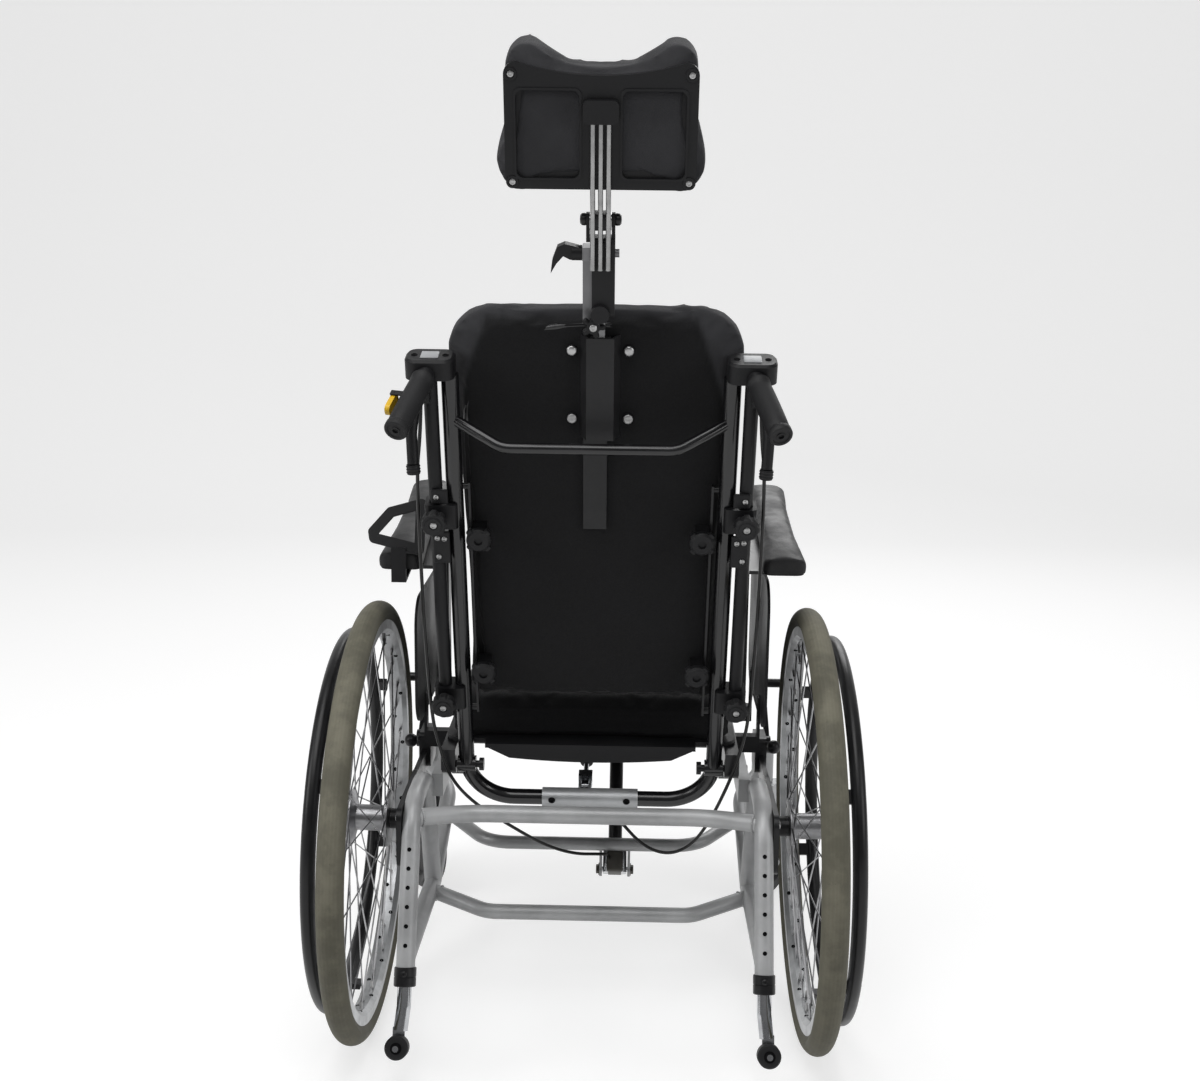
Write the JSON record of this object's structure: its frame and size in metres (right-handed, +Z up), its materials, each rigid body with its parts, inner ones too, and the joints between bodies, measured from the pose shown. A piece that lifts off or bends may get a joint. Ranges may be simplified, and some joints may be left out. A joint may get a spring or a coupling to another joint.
{
  "type": "tilt in space wheelchair",
  "caption": "Attendant and self-propelled wheelchair with tilting seat, reclining padded back, headrest, spoked drive wheels, castors, anti-tip tubes and armrests.",
  "frame": {"origin": "on the floor under the middle of the bounding box's footprint", "axes": "+X to the right side as the attendant sees it from behind, +Y forward, +Z up"},
  "size_m": [0.7112, 0.8586, 1.3322],
  "materials": {
    "tyre_rubber": "matt olive grey rubber, moulded",
    "rim_metal": "satin anodised",
    "spoke_steel": "bright drawn wire and polished hub",
    "handrim_metal": "black, satin",
    "frame_paint": "silver grey metallic powder coat",
    "silver_metal": "bead blasted",
    "chrome": "polished",
    "black_metal": "black powder coat",
    "black_plastic": "moulded, lightly grained",
    "grip_rubber": "moulded, soft",
    "caster_rubber": "solid moulded",
    "yellow_plastic": "moulded",
    "cushion_cloth": "knitted stretch cloth over foam",
    "pad_cloth": "coated cloth over foam",
    "cable_sheath": "smooth plastic sheath"
  },
  "bodies": {
    "chassis": {"side_frame_left": "frame_paint", "side_frame_right": "frame_paint", "cross_tubes": "frame_paint", "axle_plates": "black_metal"},
    "seat": {"seat_frame": "black_metal", "seat_pan": "black_plastic", "seat_cushion": "cushion_cloth", "side_guards": "black_plastic"},
    "back": {"back_frame": "black_metal", "back_sleeve": "silver_metal", "back_rails": "black_metal", "back_shell": "black_plastic", "back_cushion": "cushion_cloth", "handle_clamps": "black_plastic", "headrest_bracket": "silver_metal", "release_cables": "cable_sheath"},
    "tilt_rod": {"tilt_spring_rod": "chrome"},
    "tilt_cylinder": {"tilt_spring_cylinder": "black_metal"},
    "recline_cylinder": {"recline_spring_cylinder": "black_metal"},
    "recline_rod": {"recline_spring_rod": "chrome"},
    "headrest_post": {"headrest_post": "silver_metal"},
    "headrest_block": {"headrest_block": "black_plastic"},
    "headrest_lever": {"headrest_lever": "black_plastic"},
    "headrest": {"headrest_rods": "silver_metal", "headrest_plate": "black_plastic", "headrest_pad": "cushion_cloth"},
    "tilt_lever": {"tilt_lever": "yellow_plastic"},
    "drive_wheel_left": {"wheel_tyre_left": "tyre_rubber", "wheel_rim_left": "rim_metal", "wheel_spokes_left": "spoke_steel", "handrim_left": "handrim_metal"},
    "castor_fork_left": {"castor_fork_left": "silver_metal"},
    "castor_wheel_left": {"castor_wheel_left": "caster_rubber"},
    "anti_tip_left": {"anti_tip_tube_left": "chrome"},
    "anti_tip_roller_left": {"anti_tip_roller_left": "black_plastic"},
    "brake_lever_left": {"brake_lever_left": "black_metal"},
    "arm_left": {"arm_support_left": "black_metal", "arm_pad_left": "pad_cloth", "arm_loop": "black_plastic"},
    "handle_left": {"push_handle_left": "black_plastic", "grip_left": "grip_rubber"},
    "release_lever_left": {"release_lever_left": "black_plastic"},
    "upper_knob_left": {"upper_knob_left": "black_plastic"},
    "lower_knob_left": {"lower_knob_left": "black_plastic"},
    "drive_wheel_right": {"wheel_tyre_right": "tyre_rubber", "wheel_rim_right": "rim_metal", "wheel_spokes_right": "spoke_steel", "handrim_right": "handrim_metal"},
    "castor_fork_right": {"castor_fork_right": "silver_metal"},
    "castor_wheel_right": {"castor_wheel_right": "caster_rubber"},
    "anti_tip_right": {"anti_tip_tube_right": "chrome"},
    "anti_tip_roller_right": {"anti_tip_roller_right": "black_plastic"},
    "brake_lever_right": {"brake_lever_right": "black_metal"},
    "arm_right": {"arm_support_right": "black_metal", "arm_pad_right": "pad_cloth"},
    "handle_right": {"push_handle_right": "black_plastic", "grip_right": "grip_rubber"},
    "release_lever_right": {"release_lever_right": "black_plastic"},
    "upper_knob_right": {"upper_knob_right": "black_plastic"},
    "lower_knob_right": {"lower_knob_right": "black_plastic"}
  },
  "joints": [
    {"name": "drive_wheel_turn_left", "type": "hinge", "parent": "chassis", "child": "drive_wheel_left", "pos_m": [-0.307, -0.12436, 0.30494], "axis": [0.9998, 0, -0.0201], "continuous": true},
    {"name": "castor_swivel_left", "type": "hinge", "parent": "chassis", "child": "castor_fork_left", "pos_m": [-0.28, 0.29064, 0.219], "axis": [0, 0, 1], "continuous": true},
    {"name": "castor_roll_left", "type": "hinge", "parent": "castor_fork_left", "child": "castor_wheel_left", "pos_m": [-0.30034, 0.33632, 0.1], "axis": [0.9135, 0.4067, 0], "continuous": true},
    {"name": "anti_tip_turn_left", "type": "hinge", "parent": "chassis", "child": "anti_tip_left", "pos_m": [-0.238, -0.27339, 0.142], "axis": [0, 0.3746, 0.9272], "range_deg": [0, 90]},
    {"name": "anti_tip_roll_left", "type": "hinge", "parent": "anti_tip_left", "child": "anti_tip_roller_left", "pos_m": [-0.243, -0.3186, 0.06481], "axis": [0, 0.9272, -0.3746], "continuous": true},
    {"name": "brake_lever_turn_left", "type": "hinge", "parent": "chassis", "child": "brake_lever_left", "pos_m": [-0.2667, 0.09064, 0.35], "axis": [1, 0, 0], "range_deg": [0, 30]},
    {"name": "arm_height_left", "type": "slide", "parent": "seat", "child": "arm_left", "axis": [0, 0, 1], "range_m": [0, 0.08]},
    {"name": "handle_height_left", "type": "slide", "parent": "back", "child": "handle_left", "axis": [0, -0.2924, 0.9563], "range_m": [0, 0.1]},
    {"name": "release_lever_turn_left", "type": "hinge", "parent": "handle_left", "child": "release_lever_left", "pos_m": [-0.214, -0.27723, 0.91746], "axis": [-1, 0, 0], "range_deg": [0, 12], "stiffness_Nm_per_rad": 1.5},
    {"name": "lower_knob_turn_left", "type": "hinge", "parent": "back", "child": "lower_knob_left", "pos_m": [-0.198, -0.15523, 0.4842], "axis": [0, -0.9563, -0.2924], "continuous": true},
    {"name": "upper_knob_turn_left", "type": "hinge", "parent": "back", "child": "upper_knob_left", "pos_m": [-0.198, -0.2368, 0.75101], "axis": [0, -0.9563, -0.2924], "continuous": true},
    {"name": "drive_wheel_turn_right", "type": "hinge", "parent": "chassis", "child": "drive_wheel_right", "pos_m": [0.307, -0.12436, 0.30494], "axis": [0.9998, 0, 0.0201], "continuous": true},
    {"name": "castor_swivel_right", "type": "hinge", "parent": "chassis", "child": "castor_fork_right", "pos_m": [0.28, 0.29064, 0.219], "axis": [0, 0, 1], "continuous": true},
    {"name": "castor_roll_right", "type": "hinge", "parent": "castor_fork_right", "child": "castor_wheel_right", "pos_m": [0.30034, 0.33632, 0.1], "axis": [0.9135, -0.4067, 0], "continuous": true},
    {"name": "anti_tip_turn_right", "type": "hinge", "parent": "chassis", "child": "anti_tip_right", "pos_m": [0.238, -0.27339, 0.142], "axis": [0, -0.3746, -0.9272], "range_deg": [0, 90]},
    {"name": "anti_tip_roll_right", "type": "hinge", "parent": "anti_tip_right", "child": "anti_tip_roller_right", "pos_m": [0.243, -0.3186, 0.06481], "axis": [0, 0.9272, -0.3746], "continuous": true},
    {"name": "brake_lever_turn_right", "type": "hinge", "parent": "chassis", "child": "brake_lever_right", "pos_m": [0.2667, 0.09064, 0.35], "axis": [1, 0, 0], "range_deg": [0, 30]},
    {"name": "arm_height_right", "type": "slide", "parent": "seat", "child": "arm_right", "axis": [0, 0, 1], "range_m": [0, 0.08]},
    {"name": "handle_height_right", "type": "slide", "parent": "back", "child": "handle_right", "axis": [0, -0.2924, 0.9563], "range_m": [0, 0.1]},
    {"name": "release_lever_turn_right", "type": "hinge", "parent": "handle_right", "child": "release_lever_right", "pos_m": [0.214, -0.27723, 0.91746], "axis": [-1, 0, 0], "range_deg": [0, 12], "stiffness_Nm_per_rad": 1.5},
    {"name": "lower_knob_turn_right", "type": "hinge", "parent": "back", "child": "lower_knob_right", "pos_m": [0.198, -0.15523, 0.4842], "axis": [0, -0.9563, -0.2924], "continuous": true},
    {"name": "upper_knob_turn_right", "type": "hinge", "parent": "back", "child": "upper_knob_right", "pos_m": [0.198, -0.2368, 0.75101], "axis": [0, -0.9563, -0.2924], "continuous": true},
    {"name": "seat_tilt", "type": "hinge", "parent": "chassis", "child": "seat", "pos_m": [0, 0.02564, 0.332], "axis": [1, 0, 0], "range_deg": [0, 18], "deforming": ["release_cables"]},
    {"name": "tilt_rod_turn", "type": "hinge", "parent": "chassis", "child": "tilt_rod", "pos_m": [0.036, 0.05864, 0.155], "axis": [1, 0, 0], "range_deg": [0, 9]},
    {"name": "tilt_cylinder_slide", "type": "slide", "parent": "tilt_rod", "child": "tilt_cylinder", "axis": [0, 0.5511, 0.8344], "range_m": [0, 0.0363]},
    {"name": "back_recline", "type": "hinge", "parent": "seat", "child": "back", "pos_m": [0, -0.09278, 0.37572], "axis": [1, 0, 0], "range_deg": [0, 30], "deforming": ["release_cables"]},
    {"name": "recline_cylinder_turn", "type": "hinge", "parent": "seat", "child": "recline_cylinder", "pos_m": [-0.008, 0.21564, 0.361], "axis": [1, 0, 0], "range_deg": [-5.6, 0]},
    {"name": "recline_rod_slide", "type": "slide", "parent": "recline_cylinder", "child": "recline_rod", "axis": [0, -0.9933, -0.1158], "range_m": [-0.0205, 0]},
    {"name": "headrest_height", "type": "slide", "parent": "back", "child": "headrest_post", "axis": [0, -0.2924, 0.9563], "range_m": [0, 0.08]},
    {"name": "headrest_block_turn", "type": "hinge", "parent": "headrest_post", "child": "headrest_block", "pos_m": [0.0145, -0.31721, 1.08928], "axis": [-1, 0, 0], "range_deg": [0, 25]},
    {"name": "headrest_lever_turn", "type": "hinge", "parent": "headrest_post", "child": "headrest_lever", "pos_m": [-0.0168, -0.31721, 1.08928], "axis": [1, 0, 0], "range_deg": [0, 60]},
    {"name": "headrest_angle", "type": "hinge", "parent": "headrest_block", "child": "headrest", "pos_m": [0.011, -0.32891, 1.12753], "axis": [1, 0, 0], "range_deg": [-20, 0]},
    {"name": "tilt_lever_turn", "type": "hinge", "parent": "handle_left", "child": "tilt_lever", "pos_m": [-0.23189, -0.3281, 0.91606], "axis": [-0.0663, -0.5444, 0.8362], "range_deg": [0, 6], "stiffness_Nm_per_rad": 0.5}
  ],
  "couplings": [
    {"joint": "tilt_rod_turn", "follows": "seat_tilt", "ratio": 0.49773},
    {"joint": "tilt_cylinder_slide", "follows": "seat_tilt", "m_per_rad": 0.11493},
    {"joint": "recline_cylinder_turn", "follows": "back_recline", "ratio": -0.18378},
    {"joint": "recline_rod_slide", "follows": "back_recline", "m_per_rad": -0.038725}
  ]
}
